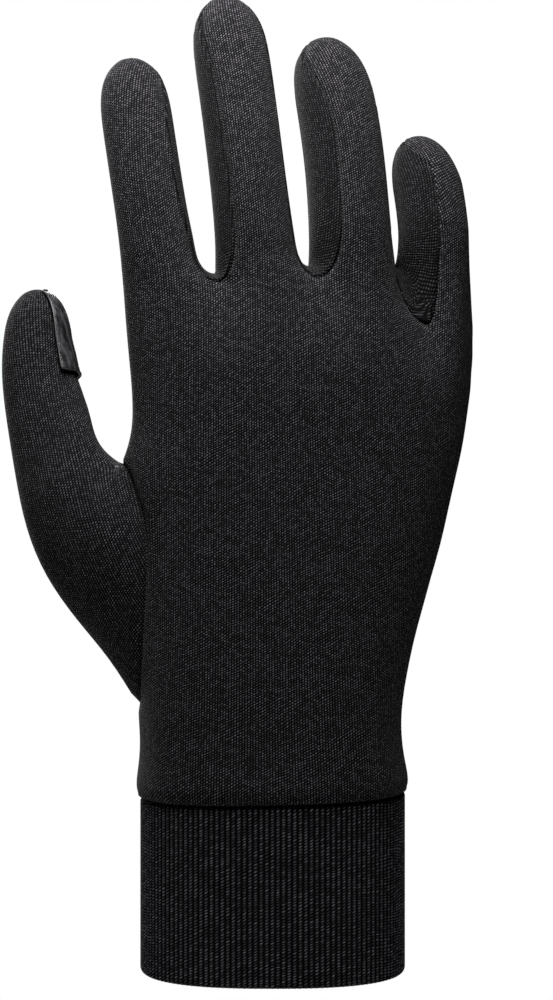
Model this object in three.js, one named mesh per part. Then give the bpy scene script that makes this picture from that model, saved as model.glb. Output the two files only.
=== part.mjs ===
// A fine knitted glove liner for the right hand, holding the form of the hand inside it.
// Jersey panels are sewn edge to edge: a back, a palm, three side strips between the fingers
// and a set-in thumb, with a smooth pad on the thumb's tip and a ribbed cuff at the wrist.
// +Z runs up the hand, the back of the hand faces -Y and the thumb lies at -X.
// The origin is the centre of the wrist opening, in the plane of the cuff's lower edge.
import * as THREE from 'three'

// Driving dimensions, in millimetres
const cuffWidth = 68.6
const cuffDepth = 51
const cuffHeight = 45.4
const cuffWall = 2.4
const cuffTuck = 6
const cuffDrawIn = 1.4
const cuffEdgeRound = 1.2
const hemBulge = 1.1
const hemTilt = 0.7
const handWidth = 91
const handDepth = 46
const handHeight = 132
const webCrown = 3
const webDip = 5.5
const thumbReach = 37
const thumbRise = 110
const thumbDepth = 34
const jersey = 1.4
const padWall = 0.9
const seamGap = 0.34
const seatGap = 0.35

// Roundness of the oval sections: 2 is an ellipse, more is squarer
const cuffSquareness = 2.5
const handSquareness = 2.7

// Panels of four columns each round the hand: thumb side, four finger backs,
// little finger side and four finger palms
const strip = 4
const backStart = strip
const backEnd = 5 * strip
const palmStart = 6 * strip
const columns = 10 * strip

const radians = (degrees) => degrees * Math.PI / 180
const mix = (a, b, t) => a + (b - a) * t
const clamp01 = (t) => Math.min(1, Math.max(0, t))
const ease = (from, to, t) => {
  const s = clamp01((t - from) / (to - from))
  return s * s * (3 - 2 * s)
}
const signedPower = (value, power) => Math.sign(value) * Math.abs(value) ** power

// Hand sections up from the hem. Heights are shares of handHeight, left and right edges
// shares of handWidth, back and palm faces shares of handDepth. The arch sets both side edges
// towards the palm, and the turn sets the little finger's side that way and the thumb's side
// the other, as shares of handDepth. The last four columns place the corner columns
// away from the side edges, in degrees.
const handSections = [
  { up: 0.110, left: -0.379, right: 0.371, back: -0.530, palm: 0.530,
    arch: 0.00, turn: 0.00, thumbBack: 18, thumbPalm: 36, littleBack: 30, littlePalm: 35 },
  { up: 0.171, left: -0.386, right: 0.369, back: -0.510, palm: 0.535,
    arch: 0.00, turn: 0.00, thumbBack: 8, thumbPalm: 42, littleBack: 28, littlePalm: 35 },
  { up: 0.292, left: -0.396, right: 0.402, back: -0.470, palm: 0.555,
    arch: 0.02, turn: 0.01, thumbBack: 24, thumbPalm: 56, littleBack: 24, littlePalm: 35 },
  { up: 0.414, left: -0.407, right: 0.454, back: -0.430, palm: 0.560,
    arch: 0.04, turn: 0.03, thumbBack: 33, thumbPalm: 62, littleBack: 20, littlePalm: 35 },
  { up: 0.535, left: -0.418, right: 0.504, back: -0.395, palm: 0.530,
    arch: 0.06, turn: 0.05, thumbBack: 36, thumbPalm: 56, littleBack: 15, littlePalm: 36 },
  { up: 0.648, left: -0.434, right: 0.540, back: -0.365, palm: 0.480,
    arch: 0.07, turn: 0.07, thumbBack: 16, thumbPalm: 29, littleBack: 10, littlePalm: 36 },
  { up: 0.690, left: -0.410, right: 0.554, back: -0.355, palm: 0.460,
    arch: 0.08, turn: 0.08, thumbBack: 17, thumbPalm: 29, littleBack: 8, littlePalm: 37 },
  { up: 0.735, left: -0.400, right: 0.565, back: -0.345, palm: 0.440,
    arch: 0.09, turn: 0.09, thumbBack: 18, thumbPalm: 30, littleBack: 6, littlePalm: 37 },
  { up: 0.800, left: -0.405, right: 0.580, back: -0.335, palm: 0.415,
    arch: 0.10, turn: 0.10, thumbBack: 20, thumbPalm: 30, littleBack: 2, littlePalm: 38 },
  { up: 0.870, left: -0.416, right: 0.591, back: -0.315, palm: 0.370,
    arch: 0.11, turn: 0.11, thumbBack: 22, thumbPalm: 30, littleBack: -2, littlePalm: 38 },
  { up: 0.940, left: -0.425, right: 0.594, back: -0.285, palm: 0.335,
    arch: 0.12, turn: 0.12, thumbBack: 24, thumbPalm: 30, littleBack: -5, littlePalm: 38 },
  { up: 1.000, left: -0.431, right: 0.591, back: -0.255, palm: 0.305,
    arch: 0.12, turn: 0.12, thumbBack: 25, thumbPalm: 30, littleBack: -8, littlePalm: 38 },
]
// The rows whose thumb-side columns open into the thumb
const thumbHoleFirst = 1
const thumbHoleLast = 5

// Hem sections below them: height as a share of the first hand section's height,
// swell as a share of hemBulge
const hemSections = [
  { up: 0.00, swell: 0.05 },
  { up: 0.12, swell: 0.75 },
  { up: 0.28, swell: 1.00 },
  { up: 0.60, swell: 0.35 },
]

// Crotches between the fingers, on the back and the palm of the hand:
// places across as shares of handWidth, heights as shares of handHeight,
// dips as shares of webDip, crowns as shares of webCrown
const crotches = [
  { backAcross: -0.151, backUp: 1.000, backDip: 1.0,
    palmAcross: -0.172, palmUp: 1.008, palmDip: 1.1, crown: 0.7 },
  { backAcross: 0.131, backUp: 1.010, backDip: 1.0,
    palmAcross: 0.098, palmUp: 1.026, palmDip: 1.1, crown: 0.8 },
  { backAcross: 0.445, backUp: 0.917, backDip: 1.1,
    palmAcross: 0.338, palmUp: 1.034, palmDip: 0.9, crown: 2.2 },
]
// Heights of the top row where the hand has no crotch, as shares of handHeight
const topEdge = { thumbBack: 0.990, thumbPalm: 0.990, littleBack: 0.960, littlePalm: 0.985 }

// Fingers: where each one's middle line starts, across as a share of handWidth, deep as a share
// of handDepth and up as a share of handHeight; its length, width and depth, as shares of
// handHeight, handWidth and handDepth; how far the middle line leans and bows sideways and curls
// to the palm, as shares of its length; and the share of its length at which its first whole
// section stands clear of the crotches
const fingerTable = [
  { name: 'index', across: -0.313, deep: -0.010, up: 1.004,
    length: 0.4568, width: 0.2077, depth: 0.3913, lean: -0.172, bow: 0.010, curl: 0.20, start: 0.15 },
  { name: 'middle', across: -0.040, deep: -0.030, up: 1.008,
    length: 0.5780, width: 0.2198, depth: 0.4087, lean: -0.100, bow: -0.026, curl: 0.18, start: 0.14 },
  { name: 'ring', across: 0.222, deep: 0.035, up: 1.012,
    length: 0.4992, width: 0.2341, depth: 0.4174, lean: 0.018, bow: -0.124, curl: 0.24, start: 0.17 },
  { name: 'little', across: 0.471, deep: 0.174, up: 1.004,
    length: 0.3129, width: 0.2099, depth: 0.3826, lean: 0.030, bow: -0.130, curl: 0.36, start: 0.32 },
]
const fingers = fingerTable.map((finger) => ({
  ...finger,
  length: finger.length * handHeight,
  width: finger.width * handWidth,
  depth: finger.depth * handDepth,
}))
const fingerTip = 0.70 // length of the rounded tip, as a share of the finger's width
const fingerSteps = 5
const tipSteps = 3
const tipCap = 0.42 // radius of the closing cap, as a share of the section's

// Seam places round each finger, in degrees from +X towards +Y, so the back is at 270:
// the thumb-side strip from its palm seam to its back seam, then the other strip
// from its back seam to its palm seam, at the foot, the middle and the tip
const fingerSeams = {
  index: {
    foot: [148, 214, 342, 410], middle: [145, 215, 322, 396], tip: [150, 212, 350, 384],
  },
  middle: {
    foot: [150, 243, 352, 424], middle: [164, 240, 350, 424], tip: [176, 206, 352, 384],
  },
  ring: {
    foot: [156, 259, 362, 432], middle: [176, 258, 362, 432], tip: [180, 210, 356, 390],
  },
  little: {
    foot: [172, 288, 372, 436], middle: [190, 276, 372, 440], tip: [190, 218, 366, 420],
  },
}

// Thumb sections from its hole to the start of its tip: the ends of each section on the crotch
// side and the outer side, out and up as shares of thumbReach and thumbRise; how deep its middle
// lies and half its depth as shares of thumbDepth
const thumbSections = [
  { innerOut: 0.170, innerUp: 0.575, outerOut: 0.189, outerUp: 0.091, deep: 0.12, half: 0.50 },
  { innerOut: 0.250, innerUp: 0.598, outerOut: 0.434, outerUp: 0.182, deep: 0.16, half: 0.47 },
  { innerOut: 0.310, innerUp: 0.632, outerOut: 0.667, outerUp: 0.287, deep: 0.21, half: 0.42 },
  { innerOut: 0.339, innerUp: 0.677, outerOut: 0.810, outerUp: 0.401, deep: 0.25, half: 0.37 },
  { innerOut: 0.381, innerUp: 0.714, outerOut: 0.889, outerUp: 0.526, deep: 0.32, half: 0.33 },
  { innerOut: 0.422, innerUp: 0.751, outerOut: 0.946, outerUp: 0.633, deep: 0.38, half: 0.31 },
  { innerOut: 0.470, innerUp: 0.789, outerOut: 0.989, outerUp: 0.716, deep: 0.44, half: 0.30 },
  { innerOut: 0.500, innerUp: 0.831, outerOut: 1.009, outerUp: 0.787, deep: 0.48, half: 0.29 },
  { innerOut: 0.535, innerUp: 0.873, outerOut: 1.003, outerUp: 0.853, deep: 0.51, half: 0.28 },
]
const thumbTip = { out: 0.775, up: 0.989, deep: 0.57 }
const thumbRoot = { across: -0.389, up: 0.182 } // shares of handWidth and handHeight
const thumbSeams = [146, 214, 322, 402]

// The pad on the thumb: its side edges in degrees round the thumb, its lower edge as a
// section number, how far that edge rounds down in its middle, and the tip radius it ends at
const pad = { from: 312, to: 466, lowEdge: 6.1, lowRound: 0.5, topRadius: 0.34, across: 12, along: 10 }

// The hand's oval sections

// Values of the hand's section table at a height share, between its rows
function handSection(up) {
  const last = handSections.length - 1
  let row = 0
  while (row < last - 1 && up > handSections[row + 1].up) {
    row += 1
  }
  const low = handSections[row]
  const high = handSections[row + 1]
  const t = clamp01((up - low.up) / (high.up - low.up))
  const section = {}
  for (const key of Object.keys(low)) {
    section[key] = mix(low[key], high[key], t)
  }
  return section
}

// An oval's angle at a share across it, 0 at the left edge and 1 at the right, and back again
const angleAcross = (share, squareness) => Math.acos(signedPower(1 - 2 * share, squareness / 2))
const shareAtAngle = (angle, squareness) => (1 - signedPower(Math.cos(angle), 2 / squareness)) / 2

// A point on the hand's oval at a height share, at an angle from the left edge round the back
function handPoint(up, angle) {
  const section = handSection(up)
  const left = section.left * handWidth
  const right = section.right * handWidth
  const across = -signedPower(Math.cos(angle), 2 / handSquareness)
  const out = signedPower(Math.sin(angle), 2 / handSquareness)
  const depth = out > 0 ? -section.back * handDepth : section.palm * handDepth
  const x = (left + right) / 2 + across * (right - left) / 2
  const y = -out * depth + handDepth * across * (section.arch * across + section.turn)
  return new THREE.Vector3(x, y, cuffHeight + up * handHeight)
}

// The height of the hem seam, which tilts a little across the wrist
const hemLevel = (x) => cuffHeight + hemTilt * x / (cuffWidth / 2)

// A point of the cuff's oval, drawn in from its outer face
function cuffPoint(angle, inset, z) {
  const x = -(cuffWidth / 2 - inset) * signedPower(Math.cos(angle), 2 / cuffSquareness)
  const y = -(cuffDepth / 2 - inset) * signedPower(Math.sin(angle), 2 / cuffSquareness)
  return new THREE.Vector3(x, y, z)
}

// Columns round the hand

// Share across the hand of each crotch column at a height: even at the wrist,
// in line with the crotches at the top
function crotchShares(section, up, side) {
  const leftAngle = radians(side === 'back' ? section.thumbBack : section.thumbPalm)
  const rightAngle = radians(side === 'back' ? section.littleBack : section.littlePalm)
  const first = shareAtAngle(leftAngle, handSquareness)
  const last = 1 - shareAtAngle(Math.abs(rightAngle), handSquareness)
  const top = handSections[handSections.length - 1]
  const follow = ease(0.1, 0.9, up)
  const shares = [first]
  crotches.forEach((crotch, index) => {
    const across = side === 'back' ? crotch.backAcross : crotch.palmAcross
    const atTop = (across - top.left) / (top.right - top.left)
    const even = mix(first, last, (index + 1) / 4)
    shares.push(mix(even, atTop, follow))
  })
  shares.push(last)
  return shares
}

// Angle of a column round the hand's oval, from the left edge over the back
function columnAngle(column, up) {
  const section = handSection(up)
  if (column <= backStart) {
    return radians(mix(-section.thumbPalm, section.thumbBack, column / strip))
  }
  if (column <= backEnd) {
    const shares = crotchShares(section, up, 'back')
    const place = (column - backStart) / strip
    const index = Math.min(3, Math.floor(place))
    if (column === backEnd) {
      return Math.PI - radians(section.littleBack)
    }
    return angleAcross(mix(shares[index], shares[index + 1], place - index), handSquareness)
  }
  if (column <= palmStart) {
    const t = (column - backEnd) / strip
    return Math.PI + radians(mix(-section.littleBack, section.littlePalm, t))
  }
  const shares = crotchShares(section, up, 'palm')
  const place = 4 - (column - palmStart) / strip
  const index = Math.min(3, Math.floor(place))
  const share = mix(shares[index], shares[index + 1], place - index)
  return 2 * Math.PI - angleAcross(share, handSquareness)
}

// Height share of the top row at a column: through the crotches, level with them between
function topShare(column) {
  const backs = [topEdge.thumbBack, ...crotches.map((c) => c.backUp), topEdge.littleBack]
  const palms = [topEdge.thumbPalm, ...crotches.map((c) => c.palmUp), topEdge.littlePalm]
  if (column <= backStart) {
    return mix(topEdge.thumbPalm, topEdge.thumbBack, column / strip)
  }
  if (column <= backEnd) {
    const place = (column - backStart) / strip
    const index = Math.min(3, Math.floor(place))
    return mix(backs[index], backs[index + 1], place - index)
  }
  if (column <= palmStart) {
    return mix(topEdge.littleBack, topEdge.littlePalm, (column - backEnd) / strip)
  }
  const place = 4 - (column - palmStart) / strip
  const index = Math.min(3, Math.floor(place))
  return mix(palms[index], palms[index + 1], place - index)
}

// How far a column dips below the hand's oval at the crotches, 0 between them
function columnDip(column) {
  const onBack = column > backStart && column < backEnd
  const onPalm = column > palmStart && column < columns
  if (!onBack && !onPalm) {
    return 0
  }
  const place = onBack ? (column - backStart) / strip : 4 - (column - palmStart) / strip
  const nearest = Math.round(place)
  if (nearest < 1 || nearest > 3) {
    return 0
  }
  const near = Math.max(0, 1 - 2 * Math.abs(place - nearest))
  const crotch = crotches[nearest - 1]
  return webDip * near * (onBack ? crotch.backDip : -crotch.palmDip)
}

// The cage of outer points and four-cornered faces, each face in one panel
const points = []
const faces = []
const addPoint = (point) => points.push(point) - 1

// Joins two rings or rows of points with faces, one panel name for each column
function joinRows(low, high, panelOf) {
  for (let i = 0; i + 1 < low.length; i += 1) {
    faces.push({ corners: [low[i], low[i + 1], high[i + 1], high[i]], panel: panelOf(i) })
  }
}

const closed = (ring) => [...ring, ring[0]]

// Rows of the hand, from the hem to the crotches
function handRows() {
  const rows = []
  const first = handSections[0]
  for (const hem of hemSections) {
    const row = []
    const inset = cuffDrawIn - seatGap - jersey - hem.swell * hemBulge
    for (let column = 0; column < columns; column += 1) {
      const angle = columnAngle(column, first.up)
      const low = cuffPoint(angle, inset, 0)
      const high = handPoint(first.up, angle)
      const t = hem.up
      const bottom = hemLevel(low.x)
      row.push(addPoint(new THREE.Vector3(
        mix(low.x, high.x, t * t), mix(low.y, high.y, t * t), mix(bottom, high.z, t))))
    }
    rows.push(row)
  }
  for (const section of handSections) {
    const row = []
    const dipShare = ease(0.82, 1, section.up) ** 2
    for (let column = 0; column < columns; column += 1) {
      const stretch = mix(1, topShare(column), ease(0.3, 1, section.up))
      const up = section.up * stretch
      const point = handPoint(up, columnAngle(column, section.up))
      point.y += columnDip(column) * dipShare
      row.push(addPoint(point))
    }
    rows.push(row)
  }
  return rows
}

const handPanel = (column) => (column < palmStart ? 'back_panel' : 'palm_panel')

function buildHand(rows) {
  const holeFirst = hemSections.length + thumbHoleFirst
  const holeLast = hemSections.length + thumbHoleLast
  for (let row = 0; row + 1 < rows.length; row += 1) {
    const open = row >= holeFirst && row < holeLast
    for (let column = open ? strip : 0; column < columns; column += 1) {
      const next = (column + 1) % columns
      const corners = [rows[row][column], rows[row][next], rows[row + 1][next], rows[row + 1][column]]
      faces.push({ corners, panel: handPanel(column) })
    }
  }
  return { holeFirst, holeLast }
}

// The line over each crotch, from the back of the hand to its palm
function webLines(top) {
  return crotches.map((crotch, index) => {
    const back = top[backStart + strip * (index + 1)]
    const palm = top[columns - strip * (index + 1)]
    const line = [back]
    for (let step = 1; step < strip; step += 1) {
      const t = step / strip
      const point = points[back].clone().lerp(points[palm], t)
      point.z += crotch.crown * webCrown * Math.sin(Math.PI * t)
      line.push(addPoint(point))
    }
    line.push(palm)
    return line
  })
}

// Tubes: fingers and the thumb

// Sixteen angles round a section from its four seam places
function seamAngles(seams) {
  const ends = [...seams, seams[0] + 360]
  const angles = []
  for (let side = 0; side < 4; side += 1) {
    for (let step = 0; step < strip; step += 1) {
      angles.push(radians(mix(ends[side], ends[side + 1], step / strip)))
    }
  }
  return angles
}

// A finger's middle line, its section directions and its seam places at a share of its length
function fingerAt(finger, share) {
  const line = (t) => new THREE.Vector3(
    finger.across * handWidth + finger.length * (finger.lean * t + finger.bow * t * t),
    finger.deep * handDepth + finger.length * finger.curl * Math.max(0, t) ** 1.7,
    cuffHeight + finger.up * handHeight + finger.length * t)
  const centre = line(share)
  const along = line(share + 0.01).sub(line(share - 0.01)).normalize()
  const across = new THREE.Vector3(1, 0, 0).addScaledVector(along, -along.x).normalize()
  const deep = along.clone().cross(across)
  const seams = fingerSeams[finger.name]
  const low = ease(0.05, 0.4, share)
  const high = ease(0.62, 1, share)
  const places = seams.foot.map((foot, i) => mix(mix(foot, seams.middle[i], low), seams.tip[i], high))
  const footSwell = 1 + 0.07 * (1 - ease(0, 0.35, share))
  return {
    centre, across, deep, along, seams: places,
    halfWidth: finger.width / 2 * footSwell, halfDepth: finger.depth / 2 * footSwell,
  }
}

// The thumb's middle line and section at a section number, between the table's rows
function thumbAt(number) {
  const last = thumbSections.length - 1
  const row = Math.min(last - 1, Math.max(0, Math.floor(number)))
  const t = Math.min(1, number - row)
  const value = (key) => mix(thumbSections[row][key], thumbSections[row + 1][key], t)
  const rootX = thumbRoot.across * handWidth
  const rootZ = cuffHeight + thumbRoot.up * handHeight
  const y = value('deep') * thumbDepth
  const end = (side) => new THREE.Vector3(
    rootX - value(`${side}Out`) * thumbReach, y, rootZ + value(`${side}Up`) * thumbRise)
  const inner = end('inner')
  const outer = end('outer')
  const centre = inner.clone().add(outer).multiplyScalar(0.5)
  const across = inner.clone().sub(outer).normalize()
  const deep = new THREE.Vector3(0, 1, 0)
  const tip = new THREE.Vector3(
    rootX - thumbTip.out * thumbReach, thumbTip.deep * thumbDepth, rootZ + thumbTip.up * thumbRise)
  return {
    centre, across, deep, tip, seams: thumbSeams,
    halfWidth: inner.distanceTo(outer) / 2, halfDepth: value('half') * thumbDepth,
  }
}

// A point of a section, at an angle and a share of its radius
const sectionPoint = (section, angle, radius = 1) => section.centre.clone()
  .addScaledVector(section.across, section.halfWidth * radius * Math.cos(angle))
  .addScaledVector(section.deep, section.halfDepth * radius * Math.sin(angle))

// A point of a rounded tip that rises from a section, at an angle and a radius share
const tipPoint = (section, rise, angle, radius) => sectionPoint(section, angle, radius)
  .addScaledVector(rise, Math.sqrt(Math.max(0, 1 - radius * radius)))

const tipRadii = Array.from({ length: tipSteps }, (_, i) => mix(1, tipCap, ((i + 1) / tipSteps) ** 1.5))

// Closes a ring of sixteen points with a four by four cap on a rounded tip
function closeTip(ring, section, rise, angles, radius, panel) {
  const flat = angles.map((angle) => new THREE.Vector2(radius * Math.cos(angle), radius * Math.sin(angle)))
  const grid = []
  for (let row = 0; row <= strip; row += 1) {
    grid.push([])
    for (let column = 0; column <= strip; column += 1) {
      if (row === 0) {
        grid[row].push(ring[column])
      } else if (row === strip) {
        grid[row].push(ring[3 * strip - column])
      } else if (column === 0) {
        grid[row].push(ring[(4 * strip - row) % (4 * strip)])
      } else if (column === strip) {
        grid[row].push(ring[strip + row])
      } else {
        const u = column / strip
        const v = row / strip
        const bottom = flat[column]
        const top = flat[3 * strip - column]
        const left = flat[4 * strip - row]
        const right = flat[strip + row]
        const x = mix(bottom.x, top.x, v) + mix(left.x, right.x, u)
          - mix(mix(flat[0].x, flat[strip].x, u), mix(flat[3 * strip].x, flat[2 * strip].x, u), v)
        const y = mix(bottom.y, top.y, v) + mix(left.y, right.y, u)
          - mix(mix(flat[0].y, flat[strip].y, u), mix(flat[3 * strip].y, flat[2 * strip].y, u), v)
        grid[row].push(addPoint(tipPoint(section, rise, Math.atan2(y, x), Math.hypot(x, y))))
      }
    }
  }
  for (let row = 0; row < strip; row += 1) {
    joinRows(grid[row], grid[row + 1], () => panel)
  }
}

// Rings between a foot ring and the first whole section, rounding out of the crotches
// on the sides that have one, and running straight on elsewhere
function footRings(foot, first, crotchSides) {
  const rings = []
  for (const share of [1 / 3, 2 / 3]) {
    const level = Math.sin(share * Math.PI / 2)
    const rise = 1 - Math.cos(share * Math.PI / 2)
    rings.push(foot.map((index, i) => {
      const low = points[index]
      const high = points[first[i]]
      const round = nearCrotch(i, crotchSides)
      const sideways = mix(share, level, round)
      const upward = mix(share, rise, round)
      return addPoint(new THREE.Vector3(
        mix(low.x, high.x, sideways), mix(low.y, high.y, sideways), mix(low.z, high.z, upward)))
    }))
  }
  return rings
}

// 1 on a crotch side's columns, falling to 0 within two columns of them
function nearCrotch(column, crotchSides) {
  const count = 4 * strip
  let near = 0
  for (const side of crotchSides) {
    for (let step = 0; step <= strip; step += 1) {
      const away = Math.abs(((column - side * strip - step) % count + count) % count)
      near = Math.max(near, 1 - Math.min(away, count - away) / 2)
    }
  }
  return near
}

const stripNames = ['fourchette_index_middle', 'fourchette_middle_ring', 'fourchette_ring_little']

function buildFinger(finger, number, top, webs) {
  const thumbSide = number === 0
    ? top.slice(0, strip)
    : webs[number - 1].slice(1).reverse()
  const back = top.slice(backStart + strip * number, backStart + strip * (number + 1))
  const otherSide = number === fingers.length - 1
    ? top.slice(backEnd, palmStart)
    : webs[number].slice(0, strip)
  const palmFrom = columns - strip * (number + 1)
  const palm = top.slice(palmFrom, palmFrom + strip)
  const foot = [...thumbSide, ...back, ...otherSide, ...palm]
  const tipLength = fingerTip * finger.width
  const tipStart = 1 - tipLength / finger.length
  const rings = []
  for (let step = 0; step <= fingerSteps; step += 1) {
    const section = fingerAt(finger, mix(finger.start, tipStart, step / fingerSteps))
    rings.push(seamAngles(section.seams).map((angle) => addPoint(sectionPoint(section, angle))))
  }
  const base = fingerAt(finger, tipStart)
  const end = fingerAt(finger, 1).centre
  const rise = end.sub(base.centre)
  let angles = []
  for (const radius of tipRadii) {
    const share = mix(tipStart, 1, Math.sqrt(1 - radius * radius))
    angles = seamAngles(fingerAt(finger, share).seams)
    rings.push(angles.map((angle) => addPoint(tipPoint(base, rise, angle, radius))))
  }
  const crotchSides = [0, 2].filter((side) => (side === 0 ? number > 0 : number < fingers.length - 1))
  const all = [foot, ...footRings(foot, rings[0], crotchSides), ...rings]
  const panelOf = (column) => {
    const side = Math.floor(column / strip)
    if (side === 0 && number > 0) {
      return stripNames[number - 1]
    }
    if (side === 2 && number < fingers.length - 1) {
      return stripNames[number]
    }
    return side === 3 ? 'palm_panel' : 'back_panel'
  }
  for (let i = 0; i + 1 < all.length; i += 1) {
    joinRows(closed(all[i]), closed(all[i + 1]), panelOf)
  }
  closeTip(all[all.length - 1], base, rise, angles, tipCap, 'back_panel')
}

function buildThumb(rows, holeFirst, holeLast) {
  const foot = []
  for (let column = 0; column < strip; column += 1) {
    foot.push(rows[holeFirst][column])
  }
  for (let row = holeFirst; row < holeLast; row += 1) {
    foot.push(rows[row][strip])
  }
  for (let column = strip; column > 0; column -= 1) {
    foot.push(rows[holeLast][column])
  }
  for (let row = holeLast; row > holeFirst; row -= 1) {
    foot.push(rows[row][0])
  }
  const angles = seamAngles(thumbSeams)
  const rings = thumbSections.map((_, number) => {
    const section = thumbAt(number)
    return angles.map((angle) => addPoint(sectionPoint(section, angle)))
  })
  const base = thumbAt(thumbSections.length - 1)
  const rise = base.tip.clone().sub(base.centre)
  for (const radius of tipRadii) {
    rings.push(angles.map((angle) => addPoint(tipPoint(base, rise, angle, radius))))
  }
  const all = [foot, ...rings]
  for (let i = 0; i + 1 < all.length; i += 1) {
    joinRows(closed(all[i]), closed(all[i + 1]), () => 'thumb_panel')
  }
  closeTip(all[all.length - 1], base, rise, angles, tipCap, 'thumb_panel')
}

// Walls

// A closed body from its points and outward-facing triangles
function bodyGeometry(vertices, triangles) {
  const geometry = new THREE.BufferGeometry()
  geometry.setAttribute('position', new THREE.Float32BufferAttribute(vertices.flatMap((v) => v.toArray()), 3))
  geometry.setIndex(triangles.flat())
  geometry.computeVertexNormals()
  return geometry
}

// Mean outward direction at every point of the cage
function pointNormals() {
  const normals = points.map(() => new THREE.Vector3())
  for (const { corners } of faces) {
    const [a, b, c, d] = corners.map((index) => points[index])
    const normal = c.clone().sub(a).cross(d.clone().sub(b))
    corners.forEach((index) => normals[index].add(normal))
  }
  return normals.map((normal) => normal.normalize())
}

// Makes one sewn panel: its faces as a wall of jersey, its edges held back from the seams
function panelGeometry(name, normals) {
  const own = faces.filter((face) => face.panel === name)
  const edges = new Map()
  for (const { corners } of own) {
    corners.forEach((from, i) => {
      const to = corners[(i + 1) % 4]
      const twin = `${to}:${from}`
      if (edges.has(twin)) {
        edges.delete(twin)
      } else {
        edges.set(`${from}:${to}`, { from, to, corners })
      }
    })
  }
  const hold = new Map()
  for (const { from, to, corners } of edges.values()) {
    const side = points[to].clone().sub(points[from])
    const sum = corners.reduce((total, index) => total.add(points[index]), new THREE.Vector3())
    const middle = sum.multiplyScalar(0.25)
    const inward = middle.sub(points[from])
    inward.addScaledVector(side, -inward.dot(side) / side.lengthSq()).normalize()
    for (const index of [from, to]) {
      const list = hold.get(index) ?? []
      list.push(inward)
      hold.set(index, list)
    }
  }
  const vertices = []
  const outerOf = new Map()
  const innerOf = new Map()
  const place = (index) => {
    if (outerOf.has(index)) {
      return
    }
    const outer = points[index].clone()
    const list = hold.get(index)
    if (list) {
      const mean = list.reduce((sum, v) => sum.add(v), new THREE.Vector3())
      const reach = Math.max(0.5, mean.length() / list.length)
      outer.addScaledVector(mean.normalize(), seamGap / 2 / reach)
    }
    outerOf.set(index, vertices.push(outer) - 1)
    innerOf.set(index, vertices.push(outer.clone().addScaledVector(normals[index], -jersey)) - 1)
  }
  const triangles = []
  for (const { corners } of own) {
    corners.forEach(place)
    const [a, b, c, d] = corners
    const [o, p, q, r] = corners.map((index) => outerOf.get(index))
    const [e, f, g, h] = corners.map((index) => innerOf.get(index))
    if (points[a].distanceTo(points[c]) <= points[b].distanceTo(points[d])) {
      triangles.push([o, p, q], [o, q, r], [e, g, f], [e, h, g])
    } else {
      triangles.push([o, p, r], [p, q, r], [e, h, f], [f, h, g])
    }
  }
  for (const { from, to } of edges.values()) {
    const [a, b] = [outerOf.get(from), outerOf.get(to)]
    const [c, d] = [innerOf.get(from), innerOf.get(to)]
    if (from < to) {
      triangles.push([b, a, c], [b, c, d])
    } else {
      triangles.push([b, a, d], [a, c, d])
    }
  }
  return bodyGeometry(vertices, triangles)
}

// A closed body from rings of points: a wall swept round, joined back to its first ring
function loopedBody(rings) {
  const count = rings[0].length
  const triangles = []
  rings.forEach((_, row) => {
    const next = (row + 1) % rings.length
    for (let i = 0; i < count; i += 1) {
      const j = (i + 1) % count
      const [a, b] = [row * count + i, row * count + j]
      const [c, d] = [next * count + j, next * count + i]
      triangles.push([a, b, c], [a, c, d])
    }
  })
  return bodyGeometry(rings.flat(), triangles)
}

// The ribbed cuff: a straight oval tube with a folded, rounded lower edge,
// whose upper edge draws in and stands inside the hem of the hand
function cuffGeometry() {
  const angles = []
  const first = handSections[0]
  for (let column = 0; column < columns; column += 1) {
    const angle = columnAngle(column, first.up)
    const next = columnAngle((column + 1) % columns, first.up)
    const span = (next - angle + 2 * Math.PI) % (2 * Math.PI)
    angles.push(angle, angle + span / 2)
  }
  const shoulder = 1.2 * cuffDrawIn
  const profile = [
    { inset: cuffWall * 0.5, z: () => 0 },
    { inset: cuffWall * 0.12, z: () => cuffEdgeRound * 0.35 },
    { inset: 0, z: () => cuffEdgeRound },
    { inset: 0, z: (level) => level / 2 },
    { inset: 0, z: (level) => level - seatGap - shoulder },
    { inset: cuffDrawIn, z: (level) => level - seatGap },
    { inset: cuffDrawIn, z: (level) => level + cuffTuck },
    { inset: cuffDrawIn + cuffWall, z: (level) => level + cuffTuck },
    { inset: cuffDrawIn + cuffWall, z: (level) => level - seatGap },
    { inset: cuffWall, z: (level) => level - seatGap - shoulder },
    { inset: cuffWall, z: (level) => level / 2 },
    { inset: cuffWall, z: () => cuffEdgeRound },
    { inset: cuffWall * 0.88, z: () => cuffEdgeRound * 0.35 },
  ]
  return loopedBody(profile.map(({ inset, z }) => angles.map((angle) => {
    const point = cuffPoint(angle, inset, 0)
    point.z = z(hemLevel(point.x))
    return point
  })))
}

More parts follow.
